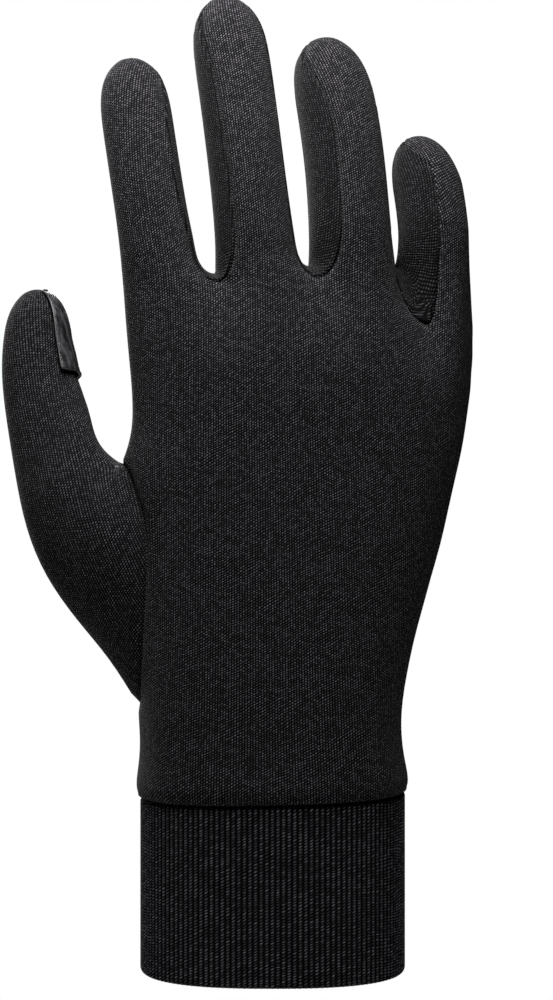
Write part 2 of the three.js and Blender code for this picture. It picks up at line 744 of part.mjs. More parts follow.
// The pad lies on the thumb's tip with a small gap, as a wall of even thickness
function padGeometry() {
  const last = thumbSections.length - 1
  const base = thumbAt(last)
  const rise = base.tip.clone().sub(base.centre)
  const surface = (angle, along) => (along <= last
    ? sectionPoint(thumbAt(along), angle)
    : tipPoint(base, rise, angle, Math.cos((along - last) * Math.PI / 2)))
  const topEnd = last + Math.acos(pad.topRadius) * 2 / Math.PI
  const layers = [seatGap, seatGap + padWall].map((lift) => {
    const grid = []
    for (let row = 0; row <= pad.along; row += 1) {
      grid.push([])
      for (let column = 0; column <= pad.across; column += 1) {
        const side = column / pad.across
        const low = pad.lowEdge - pad.lowRound * Math.sin(Math.PI * side)
        const along = mix(low, topEnd, row / pad.along)
        const angle = radians(mix(pad.from, pad.to, side))
        const step = 0.01
        const point = surface(angle, along)
        const round = surface(angle + step, along).sub(surface(angle - step, along))
        const up = surface(angle, along + step).sub(surface(angle, along - step))
        grid[row].push(point.addScaledVector(round.cross(up).normalize(), lift))
      }
    }
    return grid
  })
  const wide = pad.across + 1
  const count = wide * (pad.along + 1)
  const triangles = []
  const wall = (a, b) => triangles.push([b, a, a + count], [b, a + count, b + count])
  for (let row = 0; row < pad.along; row += 1) {
    for (let column = 0; column < pad.across; column += 1) {
      const a = row * wide + column
      const [b, c, d] = [a + 1, a + wide + 1, a + wide]
      triangles.push([a, c, b], [a, d, c])
      triangles.push([count + a, count + b, count + c], [count + a, count + c, count + d])
    }
    wall(row * wide, (row + 1) * wide)
    wall((row + 2) * wide - 1, (row + 1) * wide - 1)
  }
  for (let column = 0; column < pad.across; column += 1) {
    wall(column + 1, column)
    wall(pad.along * wide + column, pad.along * wide + column + 1)
  }
  return bodyGeometry(layers.flat(2), triangles)
}

// Materials
const jerseyBlack = { color: 0x1d1c1e, roughness: 0.92, metalness: 0 }
const stripBlack = { color: 0x151416, roughness: 0.94, metalness: 0 }
const ribBlack = { color: 0x1a191b, roughness: 0.95, metalness: 0 }
const padBlack = { color: 0x26262a, roughness: 0.45, metalness: 0 }

const group = new THREE.Group()

function addPiece(name, geometry, look) {
  const mesh = new THREE.Mesh(geometry, new THREE.MeshStandardMaterial(look))
  mesh.name = name
  group.add(mesh)
}

const rows = handRows()
const { holeFirst, holeLast } = buildHand(rows)
const top = rows[rows.length - 1]
const webs = webLines(top)
fingers.forEach((finger, number) => buildFinger(finger, number, top, webs))
buildThumb(rows, holeFirst, holeLast)
const normals = pointNormals()

addPiece('back_panel', panelGeometry('back_panel', normals), jerseyBlack)
addPiece('palm_panel', panelGeometry('palm_panel', normals), jerseyBlack)
for (const name of stripNames) {
  addPiece(name, panelGeometry(name, normals), stripBlack)
}
addPiece('thumb_panel', panelGeometry('thumb_panel', normals), jerseyBlack)
addPiece('thumb_touch_pad', padGeometry(), padBlack)
addPiece('cuff', cuffGeometry(), ribBlack)

export default group
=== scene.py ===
"""Glove liner: the knitted hand, finger strips, thumb, touch pad and ribbed cuff, built round the
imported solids. Each cloth panel is the outer face of its solid, rounded, sunk along its seams and
given a wall, with the knit drawn along its own wales."""
import math

import bmesh
import bpy
import numpy as np
from bpy.props import FloatProperty, FloatVectorProperty, IntProperty, PointerProperty
from mathutils import Matrix, Vector
from mathutils.bvhtree import BVHTree
from mathutils.kdtree import KDTree


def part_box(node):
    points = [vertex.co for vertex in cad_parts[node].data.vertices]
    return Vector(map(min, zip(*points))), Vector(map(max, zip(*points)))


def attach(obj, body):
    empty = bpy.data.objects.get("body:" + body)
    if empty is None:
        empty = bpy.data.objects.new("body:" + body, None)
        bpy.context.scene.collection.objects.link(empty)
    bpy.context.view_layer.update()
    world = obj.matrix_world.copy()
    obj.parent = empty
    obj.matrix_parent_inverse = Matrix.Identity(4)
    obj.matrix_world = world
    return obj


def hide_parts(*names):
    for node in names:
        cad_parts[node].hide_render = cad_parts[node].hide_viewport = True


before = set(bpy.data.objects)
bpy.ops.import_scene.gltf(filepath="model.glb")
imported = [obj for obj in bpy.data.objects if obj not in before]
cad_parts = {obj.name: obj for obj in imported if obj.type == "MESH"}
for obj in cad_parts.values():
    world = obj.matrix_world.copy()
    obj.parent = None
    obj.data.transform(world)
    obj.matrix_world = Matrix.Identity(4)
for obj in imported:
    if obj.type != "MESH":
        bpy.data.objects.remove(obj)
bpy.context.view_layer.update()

bl_info = {
    "name": "Glove liner",
    "version": (1, 0, 0),
    "blender": (4, 5, 0),
    "location": "View3D > Sidebar > Glove",
    "description": "Builds a knitted glove liner round its solids",
    "category": "Object",
}

MM = 0.001
BODY = "root"

# Reaches within which two panels' edges belong to one seam, before and after the rounding
SEAM_REACH = 0.8 * MM
ROUNDED_REACH = 1.6 * MM
# This far above the hand's lower edge, its hem ends and the seams begin
HEM = 2 * MM

# The cuff's oval is a superellipse of this power, and each of its ribs has this many columns
SQUARENESS = 2.5
RIB_COLUMNS = 6

# From the camera to the hand, and the width that the picture shows there
DISTANCE = 0.55
PICTURE_WIDTH = 0.26

# A side of a solid holds more than this share of its faces, and a rim holds fewer
SIDE_SHARE = 0.2

# Cloth panels that are sewn to each other, and the strips between the fingers
HAND_PANELS = ["back_panel", "palm_panel", "thumb_panel"]
STRIPS = ["fourchette_index_middle", "fourchette_middle_ring", "fourchette_ring_little"]


def linear(hex_colour):
    """An sRGB hex colour as the linear values that Blender's sockets hold."""
    shares = [(hex_colour >> shift & 255) / 255 for shift in (16, 8, 0)]
    return [s / 12.92 if s <= 0.04045 else ((s + 0.055) / 1.055) ** 2.4 for s in shares]


def length(name, description, default_mm):
    """A length property in metres, with its default in millimetres."""
    return FloatProperty(name=name, description=description, default=default_mm * MM,
                         min=0, precision=5, unit="LENGTH", subtype="DISTANCE")


def colour(name, description, hex_colour):
    """A colour property with an sRGB hex default."""
    return FloatVectorProperty(name=name, description=description, size=3, min=0, max=1,
                               default=linear(hex_colour), subtype="COLOR")


class GloveKnit(bpy.types.PropertyGroup):
    wale: length("Wale", "Width of one column of loops in the hand's jersey", 0.66)
    course: length("Course", "Height of one row of loops in the hand's jersey", 0.64)
    slant: FloatProperty(name="Slant", description="Courses that a loop rises across its wale",
                         default=0.56, min=0, max=2)
    relief: length("Relief", "Height of the loops over the gaps between them", 0.16)
    wall: length("Cloth", "Thickness of the jersey with its loops", 1.1)
    groove: length("Seam depth", "How far a seam sinks into the cloth", 0.85)
    roll: length("Seam roll", "How far the cloth rises beside a seam", 0.18)
    stitch_step: length("Stitch step", "From one stitch of a seam to the next", 0.85)
    stitch_span: length("Stitch span", "Length of a stitch across its seam", 0.62)
    thread: length("Thread", "Thickness of the sewing thread", 0.32)
    thread_colour: colour("Thread", "Colour of the sewing thread", 0x101011)
    groove_width: length("Seam width", "How far from a seam its groove reaches", 1.15)
    # Painted shade: the gaps between the loops are coloured near black, darker than the yarn, for
    # the shade that lies in them
    gap_shade_colour: colour("Gaps", "Colour between the loops", 0x010101)
    # The crests' colour is the black yarn's own tone with a painted highlight, lighter than the yarn
    crest_yarn_and_highlight_colour: colour("Loops", "Colour of the loops' crests", 0x403E42)
    # Painted shade: the strips between the fingers take a darker crest colour than the hand, for the
    # shade that they lie in
    strip_crest_shaded_colour: colour("Strip loops", "Colour of the strips' loops", 0x2A282B)


class GloveCuff(bpy.types.PropertyGroup):
    ribs: IntProperty(name="Ribs", description="Ribs round the cuff", default=142, min=20)
    rib_height: length("Rib height", "Height of a rib over the furrow beside it", 0.42)
    course: length("Course", "Height of one row of loops in the cuff", 0.72)
    wall: length("Cuff", "Thickness of the folded cuff", 2.2)
    # Painted shade: the furrows between the ribs are coloured near black for the shade that lies in
    # them
    gap_shade_colour: colour("Furrows", "Colour between the ribs", 0x010101)
    # The ribs' crests carry the yarn's own tone with a painted highlight
    crest_yarn_and_highlight_colour: colour("Ribs", "Colour of the ribs' crests", 0x434146)


class GlovePad(bpy.types.PropertyGroup):
    film_colour: colour("Film", "Colour of the coated pad", 0x1C1C1E)
    roughness: FloatProperty(name="Roughness", description="Roughness of the coated pad",
                             default=0.38, min=0, max=1)
    piping: length("Piping", "Thickness of the rolled edge round the pad", 0.5)
    piping_colour: colour("Piping", "Colour of the rolled edge", 0x161617)


class GloveStage(bpy.types.PropertyGroup):
    floor: length("Floor drop", "How far the floor lies under the cuff's edge", 100)
    key: FloatProperty(name="Key", description="Power of the soft light over the fingertips",
                       default=2.2, min=0, unit="POWER")
    back: FloatProperty(name="Back", description="Power of the wide light behind the palm",
                        default=12.0, min=0, unit="POWER")
    fill: FloatProperty(name="Fill", description="Power of the wide light beside the camera",
                        default=0.30, min=0, unit="POWER")


def add(tree, kind, settings=(), links=()):
    """Adds a node to a tree, with its properties or input values set and its inputs linked."""
    made = tree.nodes.new(kind)
    for name, value in dict(settings).items():
        if isinstance(name, str) and hasattr(made, name):
            setattr(made, name, value)
        else:
            made.inputs[name].default_value = value
    for name, source in dict(links).items():
        tree.links.new(source, made.inputs[name])
    return made


def new_material(name):
    """An empty node material with its shader and output."""
    material = bpy.data.materials.new(name)
    material.use_nodes = True
    tree = material.node_tree
    tree.nodes.clear()
    shader = add(tree, "ShaderNodeBsdfPrincipled")
    add(tree, "ShaderNodeOutputMaterial", {}, {"Surface": shader.outputs["BSDF"]})
    return material, tree, shader


def knit_material(name, wale_mm, course_mm, relief, gap_shade_colour, crest_yarn_and_highlight_colour, slant):
    """Knitted polyester yarn: matt, with a soft sheen of loose fibres. Each loop shows as a short
    slanted crest over dark gaps, painted into the base colour as shade in the gaps and a highlight
    on each crest, and here and there one loop's painted highlight is brighter than the next. Slant
    is how many courses a crest rises across its wale, which lines the crests up slantwise. The real
    loops are likely too fine to show, so they are drawn at a pitch that does."""
    material, tree, shader = new_material(name)
    place = add(tree, "ShaderNodeUVMap", {"uv_map": "knit"})
    parts = add(tree, "ShaderNodeSeparateXYZ", {}, {0: place.outputs["UV"]})
    wales = add(tree, "ShaderNodeMath", {"operation": "DIVIDE", 1: wale_mm}, {0: parts.outputs["X"]})
    courses = add(tree, "ShaderNodeMath", {"operation": "DIVIDE", 1: course_mm},
                  {0: parts.outputs["Y"]})
    # Rows waver by up to a course over some ten millimetres, as a stretched knit's do
    waver = add(tree, "ShaderNodeTexNoise", {"noise_dimensions": "2D", "Scale": 0.11,
                                             "Detail": 2.0}, {"Vector": place.outputs["UV"]})
    wavering = add(tree, "ShaderNodeMath", {"operation": "MULTIPLY_ADD", 1: 3.0},
                   {0: waver.outputs["Fac"], 2: courses.outputs[0]})
    lean = add(tree, "ShaderNodeMath", {"operation": "MULTIPLY_ADD", 1: -slant},
               {0: wales.outputs[0], 2: wavering.outputs[0]})
    # Lowest at a whole course and highest midway to the next
    phase = add(tree, "ShaderNodeMath", {"operation": "MULTIPLY_ADD", 1: 2 * math.pi,
                                         2: -math.pi / 2}, {0: lean.outputs[0]})
    wave = add(tree, "ShaderNodeMath", {"operation": "SINE"}, {0: phase.outputs[0]})
    swell = add(tree, "ShaderNodeMath", {"operation": "MULTIPLY_ADD", 1: 0.46, 2: 0.54},
                {0: wave.outputs[0]})
    # 0 at the gap between two wales and 0.5 at a wale's centre
    side = add(tree, "ShaderNodeMath", {"operation": "PINGPONG", 1: 0.5}, {0: wales.outputs[0]})
    leg = add(tree, "ShaderNodeMapRange", {"interpolation_type": "SMOOTHSTEP", "From Max": 0.42},
              {"Value": side.outputs[0]})
    height = add(tree, "ShaderNodeMath", {"operation": "MULTIPLY"},
                 {0: leg.outputs["Result"], 1: swell.outputs[0]})
    # One number for each loop, from its wale and its course
    wale_number = add(tree, "ShaderNodeMath", {"operation": "FLOOR"}, {0: wales.outputs[0]})
    course_number = add(tree, "ShaderNodeMath", {"operation": "FLOOR"}, {0: lean.outputs[0]})
    stitch = add(tree, "ShaderNodeCombineXYZ", {},
                 {"X": wale_number.outputs[0], "Y": course_number.outputs[0]})
    chance = add(tree, "ShaderNodeTexWhiteNoise", {"noise_dimensions": "2D"},
                 {"Vector": stitch.outputs[0]})
    seldom = add(tree, "ShaderNodeMath", {"operation": "POWER", 1: 1.6},
                 {0: chance.outputs["Value"]})
    uneven = add(tree, "ShaderNodeMapRange", {"To Min": 0.55, "To Max": 2.3},
                 {"Value": seldom.outputs[0]})
    # Painted highlight: squaring the height narrows each crest's highlight, and uneven makes it
    # brighter on some loops at random
    crest = add(tree, "ShaderNodeMath", {"operation": "POWER", 1: 2.0}, {0: height.outputs[0]})
    lit = add(tree, "ShaderNodeMath", {"operation": "MULTIPLY"},
              {0: crest.outputs[0], 1: uneven.outputs["Result"]})
    # The base colour runs from the gaps' painted shade to the crests' painted highlight, and past it
    # where a loop is brighter
    tone = add(tree, "ShaderNodeMix", {"data_type": "RGBA", "clamp_factor": False,
                                       6: (*gap_shade_colour, 1), 7: (*crest_yarn_and_highlight_colour, 1)},
               {0: lit.outputs[0]})
    bump = add(tree, "ShaderNodeBump", {"Strength": 1.0, "Distance": relief},
               {"Height": height.outputs[0]})
    tree.links.new(tone.outputs[2], shader.inputs["Base Color"])
    tree.links.new(bump.outputs[0], shader.inputs["Normal"])
    shader.inputs["Roughness"].default_value = 0.85
    shader.inputs["Specular IOR Level"].default_value = 0.03
    shader.inputs["Sheen Weight"].default_value = 0.02
    shader.inputs["Sheen Roughness"].default_value = 0.5
    return material


def pad_material(settings):
    """Polyurethane film on thin cloth: smooth, half glossy, with fine creases along the thumb.
    The creases' noise also paints highlight streaks, with painted shade between them, into the
    film's colour.
    """
    material, tree, shader = new_material("coated_film")
    place = add(tree, "ShaderNodeTexCoord")
    turned = add(tree, "ShaderNodeMapping", {"Scale": (1.0, 1.0, 0.22)},
                 {"Vector": place.outputs["Object"]})
    creases = add(tree, "ShaderNodeTexNoise", {"Scale": 550.0, "Detail": 3.0, "Roughness": 0.6},
                  {"Vector": turned.outputs[0]})
    bump = add(tree, "ShaderNodeBump", {"Strength": 1.0, "Distance": 0.6 * MM},
               {"Height": creases.outputs["Fac"]})
    # Painted highlight and shade: the film's colour is made up to 3.5 times lighter along the
    # creases and down to 0.3 of itself between them, as streaks of caught light
    shade = add(tree, "ShaderNodeMapRange", {"From Min": 0.40, "From Max": 0.68, "To Min": 0.3,
                                             "To Max": 3.5}, {"Value": creases.outputs["Fac"]})
    tone = add(tree, "ShaderNodeMix", {"data_type": "RGBA", "blend_type": "MULTIPLY", 0: 1.0,
                                       6: (*settings.film_colour, 1)},
               {7: shade.outputs["Result"]})
    tree.links.new(tone.outputs[2], shader.inputs["Base Color"])
    tree.links.new(bump.outputs[0], shader.inputs["Normal"])
    shader.inputs["Roughness"].default_value = settings.roughness
    shader.inputs["Specular IOR Level"].default_value = 0.35
    return material


def plain_material(name, tone, roughness):
    """Thread or piping of one colour, made slightly uneven."""
    material, tree, shader = new_material(name)
    place = add(tree, "ShaderNodeTexCoord")
    grain = add(tree, "ShaderNodeTexNoise", {"Scale": 2500.0, "Detail": 2.0},
                {"Vector": place.outputs["Object"]})
    shade = add(tree, "ShaderNodeMapRange", {"To Min": 0.5, "To Max": 1.5},
                {"Value": grain.outputs["Fac"]})
    mixed = add(tree, "ShaderNodeMix", {"data_type": "RGBA", "blend_type": "MULTIPLY", 0: 1.0,
                                        6: (*tone, 1)}, {7: shade.outputs["Result"]})
    tree.links.new(mixed.outputs[2], shader.inputs["Base Color"])
    shader.inputs["Roughness"].default_value = roughness
    return material


def copy_of(node):
    """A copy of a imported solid, with its loose triangles joined."""
    solid = bmesh.new()
    solid.from_mesh(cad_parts[node].data)
    bmesh.ops.remove_doubles(solid, verts=solid.verts, dist=0.005 * MM)
    solid.normal_update()
    return solid


def islands(faces, sharpest=math.pi):
    """The connected groups of these faces, parted at edges folded more sharply than named."""
    left = set(faces)
    groups = []
    for first in faces:
        if first not in left:
            continue
        left.remove(first)
        group = [first]
        for face in group:
            for edge in face.edges:
                for near in edge.link_faces:
                    if near in left and edge.calc_face_angle(0) <= sharpest:
                        left.remove(near)
                        group.append(near)
        groups.append(group)
    return groups


def tree_of_nodes(names):
    """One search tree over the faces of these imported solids."""
    joined = bmesh.new()
    for name in names:
        joined.from_mesh(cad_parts[name].data)
    tree = BVHTree.FromBMesh(joined)
    joined.free()
    return tree


def meets(face, tree, side, reach):
    """Whether a face turned the other way lies within reach before it, or behind it."""
    start = face.calc_center_median() + face.normal * side * 0.01 * MM
    _, normal, _, _ = tree.ray_cast(start, face.normal * side, reach)
    return normal is not None and normal.dot(face.normal) < -0.5


def open_share(faces, everything):
    """The share of these faces that nothing covers from outside."""
    clear = 0
    for face in faces:
        start = face.calc_center_median() + face.normal * 0.01 * MM
        clear += everything.ray_cast(start, face.normal)[0] is None
    return clear / len(faces)


def outer_sheet(node, everything):
    """The outer side of a cloth wall, as one sheet of quads. Its rim, which faces the next
    panel across a seam or has no cloth straight behind it, is left out with its inner side."""
    sheet = copy_of(node)
    own = BVHTree.FromBMesh(sheet)
    next_panel, wall = 1.2 * MM, 3 * MM
    others = tree_of_nodes([name for name in HAND_PANELS + STRIPS if name != node])
    rim = [face for face in sheet.faces
           if meets(face, others, 1, next_panel) or not meets(face, own, -1, wall)]
    bmesh.ops.delete(sheet, geom=rim, context="FACES")
    groups = [g for g in islands(sheet.faces[:]) if len(g) > SIDE_SHARE * len(sheet.faces)]
    outer = set(max(groups, key=lambda group: open_share(group, everything)))
    bmesh.ops.delete(sheet, geom=[f for f in sheet.faces if f not in outer], context="FACES")
    bmesh.ops.join_triangles(sheet, faces=sheet.faces, angle_face_threshold=math.radians(50),
                             angle_shape_threshold=math.radians(70))
    sheet.normal_update()
    return sheet


def edge_verts(sheet):
    """The verts on the sheet's open edges."""
    return [vert for vert in sheet.verts if vert.is_boundary]


def tree_of(places):
    """A search tree over these places."""
    tree = KDTree(len(places))
    for number, place in enumerate(places):
        tree.insert(place, number)
    tree.balance()
    return tree


def close_seams(sheets, reach):
    """Brings the facing edges of neighbouring panels together, midway between them, and keeps
    the corners where three panels meet from being rounded off."""
    trees = {name: tree_of([v.co for v in edge_verts(s)]) for name, s in sheets.items()}
    moves = []
    for name, sheet in sheets.items():
        corner = sheet.verts.layers.float.new("crease_vert")
        for vert in edge_verts(sheet):
            places = [vert.co.copy()]
            for other, tree in trees.items():
                near, _, distance = tree.find(vert.co)
                if other != name and distance < reach:
                    places.append(near)
            moves.append((vert, sum(places, Vector()) / len(places)))
            vert[corner] = float(len(places) > 2)
    for vert, place in moves:
        vert.co = place


def edge_tree(sheet):
    """A search tree over the sheet's open edges, each taken as a triangle without width."""
    ends = [vert.co.copy() for edge in sheet.edges if edge.is_boundary for vert in edge.verts]
    return BVHTree.FromPolygons(ends, [(i, i + 1, i + 1) for i in range(0, len(ends), 2)])


def join_seams(sheets, reach, hem):
    """Draws the rounded edges of neighbouring panels onto one line, above the height hem."""
    for _ in range(4):
        trees = {name: edge_tree(sheet) for name, sheet in sheets.items()}
        moves = []
        for name, sheet in sheets.items():
            for vert in edge_verts(sheet):
                others = [tree for other, tree in trees.items() if other != name]
                found = [tree.find_nearest(vert.co, reach)[0] for tree in others]
                near = [place for place in found if place]
                if near and vert.co.z > hem:
                    closest = min(near, key=lambda place: (place - vert.co).length)
                    moves.append((vert, vert.co.lerp(closest, 0.5)))
        for vert, place in moves:
            vert.co = place


def spread_matrix(count, pairs):
    """The matrix that ties each of count points to its neighbours."""
    matrix = np.zeros((count, count))
    for first, second in pairs:
        matrix[first, second] -= 1
        matrix[second, first] -= 1
        matrix[first, first] += 1
        matrix[second, second] += 1
    return matrix


def wale_directions(sheet, heading, low=-1.0):
    """The direction of the wales at each vert: the heading's below the height named low, along
    the seams that run the heading's way above it, and spread evenly between them."""
    spread = 12 * MM
    known = {v.index: heading(v.co) for v in sheet.verts if v.co.z < low - spread}
    for edge in sheet.edges:
        if not edge.is_boundary or min(v.co.z for v in edge.verts) < low:
            continue
        way = (edge.verts[1].co - edge.verts[0].co).normalized()
        along = way.dot(heading((edge.verts[0].co + edge.verts[1].co) / 2))
        if abs(along) > 0.8:
            for vert in edge.verts:
                known[vert.index] = known.get(vert.index, Vector()) + way * math.copysign(1, along)
    pairs = [[v.index for v in edge.verts] for edge in sheet.edges]
    matrix = spread_matrix(len(sheet.verts), pairs)
    target = np.zeros((len(sheet.verts), 3))
    for index, way in known.items():
        matrix[index] = 0
        matrix[index, index] = 1
        target[index] = way.normalized()
    return np.linalg.solve(matrix, target)


def map_knit(sheet, directions, cut=(), facing=Vector()):
    """Lays the sheet out flat, with its wales straight up, and writes each corner's place in
    that flat cloth, in millimetres, to the UV map named knit. Cut names edges to open first.
    Facing is the side that the sheet covers, where its wales bend over the fingertips."""
    flat = sheet.copy()
    flat.edges.ensure_lookup_table()
    origin = flat.verts.layers.int.new("origin")
    for vert in flat.verts:
        vert[origin] = vert.index
    bmesh.ops.split_edges(flat, edges=[flat.edges[index] for index in cut])
    flat.verts.index_update()
    flat.normal_update()
    pairs = [[v.index for v in edge.verts] for edge in flat.edges]
    matrix = spread_matrix(len(flat.verts), pairs)
    matrix[0, 0] += 1
    target = np.zeros((len(flat.verts), 2))
    for face in flat.faces:
        wale = Vector(sum(directions[vert[origin]] for vert in face.verts))
        bent = face.normal.cross(wale.cross(facing))
        wale = (wale - face.normal * wale.dot(face.normal) + bent).normalized()
        across = wale.cross(face.normal)
        for loop in face.loops:
            first, second = loop.vert, loop.link_loop_next.vert
            way = (second.co - first.co) / MM
            step = np.array([way.dot(across), way.dot(wale)]) / len(loop.edge.link_faces)
            target[first.index] -= step
            target[second.index] += step
    places = np.linalg.solve(matrix, target)
    knit = sheet.loops.layers.uv.new("knit")
    for face, flat_face in zip(sheet.faces, flat.faces):
        for loop, flat_loop in zip(face.loops, flat_face.loops):
            loop[knit].uv = places[flat_loop.vert.index]
    flat.free()


def rounded(name, sheet):
    """The sheet made smooth and finer, as a new bmesh."""
    mesh = bpy.data.meshes.new(name)
    sheet.to_mesh(mesh)
    draft = bpy.data.objects.new(name, mesh)
    bpy.context.scene.collection.objects.link(draft)
    smooth = draft.modifiers.new("Round", "SUBSURF")
    smooth.levels = smooth.render_levels = 2
    smooth.boundary_smooth = "PRESERVE_CORNERS"
    fine = bmesh.new()
    fine.from_object(draft, bpy.context.evaluated_depsgraph_get())
    bpy.data.objects.remove(draft)
    bpy.data.meshes.remove(mesh)
    return fine


def refine_near_seams(sheet, width):
    """Splits the faces near the sheet's edge, so that its groove can be round."""
    for _ in range(2):
        tree = tree_of([v.co for v in edge_verts(sheet)])
        near = {v for v in sheet.verts if tree.find(v.co)[2] < width}
        edges = [e for e in sheet.edges if e.verts[0] in near and e.verts[1] in near]
        bmesh.ops.subdivide_edges(sheet, edges=edges, cuts=1, use_grid_fill=True)
    sheet.normal_update()


def sink_seams(sheets, depth, width, roll, hem):
    """Sinks each panel's edge into the seam that it shares with its neighbour, and raises a
    low roll of cloth beside it. Below the height named hem the edge sinks half as far."""
    near = 0.8 * MM
    edges = [(v.co.copy(), v.normal.copy()) for s in sheets.values() for v in edge_verts(s)]
    tree = tree_of([place for place, _ in edges])
    for sheet in sheets.values():
        moves = []
        for vert in sheet.verts:
            place, index, distance = tree.find(vert.co)
            if distance > width:
                continue
            seam = sum((edges[i][1] for _, i, _ in tree.find_range(place, near)), Vector())
            share = distance / width
            way = seam.normalized().lerp(vert.normal, share).normalized()
            sunk = depth / 2 if place.z < hem else depth
            drop = sunk * (1 - share) ** 3 - roll * math.sin(math.pi * share) ** 2
            moves.append((vert, vert.co - way * drop))
        for vert, place in moves:
            vert.co = place


def edge_loops(sheet):
    """The sheet's open edges, as chains of verts in order."""
    left = {edge for edge in sheet.edges if edge.is_boundary}
    chains = []
    for edge in sheet.edges:
        if edge not in left:
            continue
        left.remove(edge)
        chain = list(edge.verts)
        while ahead := [e for e in chain[-1].link_edges if e in left]:
            left.remove(ahead[0])
            chain.append(ahead[0].other_vert(chain[-1]))
        chains.append(chain)
    return chains


def steps_along(verts, step):
    """Places at even steps along a chain of verts, each with the way along and the way out."""
    travelled = 0
    for first, second in zip(verts, verts[1:]):
        way = second.co - first.co
        while travelled < way.length:
            share = travelled / way.length
            up = first.normal.lerp(second.normal, share)
            yield first.co.lerp(second.co, share), way.normalized(), up
            travelled += step
        travelled -= way.length


def repeated(shape, places):
    """One bmesh that holds the shape at each of the places."""
    mesh = bpy.data.meshes.new("shape")
    shape.to_mesh(mesh)
    shape.free()
    joined = bmesh.new()
    for place in places:
        moved = mesh.copy()
        moved.transform(place)
        joined.from_mesh(moved)
        bpy.data.meshes.remove(moved)
    bpy.data.meshes.remove(mesh)
    return joined


def new_piece(name, shape, material, slot, *nodes):
    """Turns a bmesh into a piece that rides on the body and stands for its nodes."""
    mesh = bpy.data.meshes.new(name)
    shape.to_mesh(mesh)
    shape.free()
    mesh.materials.append(material)
    mesh.shade_smooth()
    piece = bpy.data.objects.new(name, mesh)
    bpy.context.scene.collection.objects.link(piece)
    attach(piece, BODY)
    if nodes:
        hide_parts(*nodes)
    return piece


def thicken(piece, wall):
    """Gives a sheet its wall, inwards from its face."""
    solid = piece.modifiers.new("Wall", "SOLIDIFY")
    solid.thickness = wall
    solid.offset = -1
    return piece


class GLOVE_OT_panels(bpy.types.Operator):
    """Sew the knitted back, palm, thumb and finger strips"""
    bl_idname = "glove.panels"
    bl_label = "Sewn panels"

    def execute(self, context):
        settings = context.scene.glove_knit
        around = tree_of_nodes(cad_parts)
        sheets = {node: outer_sheet(node, around) for node in HAND_PANELS + STRIPS}
        close_seams(sheets, SEAM_REACH)
        for node, sheet in sheets.items():
            self.lay_knit(node, sheet)
        sheets = {node: rounded(node, sheet) for node, sheet in sheets.items()}
        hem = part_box("back_panel")[0].z + HEM
        join_seams(sheets, ROUNDED_REACH, hem)
        for sheet in sheets.values():
            refine_near_seams(sheet, settings.groove_width)
        sink_seams(sheets, settings.groove, settings.groove_width, settings.roll, hem)
        self.stitch(sheets, settings)
        sizes = [settings.wale / MM, settings.course / MM, settings.relief]
        # The strips' jersey is a darker copy of the hand's, painted shade between the fingers
        cloth = {"jersey": knit_material("polyester_jersey", *sizes, settings.gap_shade_colour,
                                         settings.crest_yarn_and_highlight_colour, settings.slant),
                 "strip_jersey": knit_material("shaded_strip_polyester_jersey", *sizes,
                                               settings.gap_shade_colour, settings.strip_crest_shaded_colour,
                                               settings.slant)}
        for node, sheet in sheets.items():
            slot = "strip_jersey" if node in STRIPS else "jersey"
            thicken(new_piece("knit_" + node, sheet, cloth[slot], slot, node), settings.wall)
        return {"FINISHED"}

    def stitch(self, sheets, settings):
        """Sews the panels together, with one short stitch after another across each seam."""
        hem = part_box("back_panel")[0].z + 2 * HEM
        placed = []
        for sheet in sheets.values():
            earlier = tree_of([matrix.translation for matrix in placed])
            for places in edge_loops(sheet):
                for place, along, up in steps_along(places, settings.stitch_step):
                    near = earlier.find(place)[2]
                    if place.z > hem and (near is None or near > settings.stitch_step * 0.7):
                        across = along.cross(up).normalized()
                        turned = Matrix((across, along, across.cross(along))).transposed()
                        placed.append(Matrix.Translation(place) @ turned.to_4x4())
        stitch = bmesh.new()
        bmesh.ops.create_uvsphere(stitch, u_segments=6, v_segments=4, radius=0.5)
        size = (settings.stitch_span, settings.thread, settings.thread)
        bmesh.ops.scale(stitch, verts=stitch.verts, vec=size)
        thread = plain_material("polyester_thread", settings.thread_colour, 0.6)
        new_piece("seam_stitches", repeated(stitch, placed), thread, "jersey")

    def lay_knit(self, node, sheet):
        """Draws the wales up the hand and the fingers, up the thumb, or along a strip."""
        sheet.verts.index_update()
        sheet.edges.index_update()
        if node == "thumb_panel":
            edge = edge_verts(sheet)
            root = sum((v.co for v in edge), Vector()) / len(edge)
            tip = max(sheet.verts, key=lambda v: (v.co - root).length)
            axis = (tip.co - root).normalized()
            start = max(edge, key=lambda v: v.co.y)
            directions = np.tile(axis, (len(sheet.verts), 1))
            map_knit(sheet, directions, lengthwise_cut(start, axis))
        elif node in STRIPS:
            map_knit(sheet, wale_directions(sheet, end_to_end(sheet)))
        else:
            crotch = min(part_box(strip)[0].z for strip in STRIPS)
            facing = Vector((0, -1 if node == "back_panel" else 1, 0))
            directions = wale_directions(sheet, lambda place: Vector((0, 0, 1)), crotch)
            map_knit(sheet, directions, facing=facing)


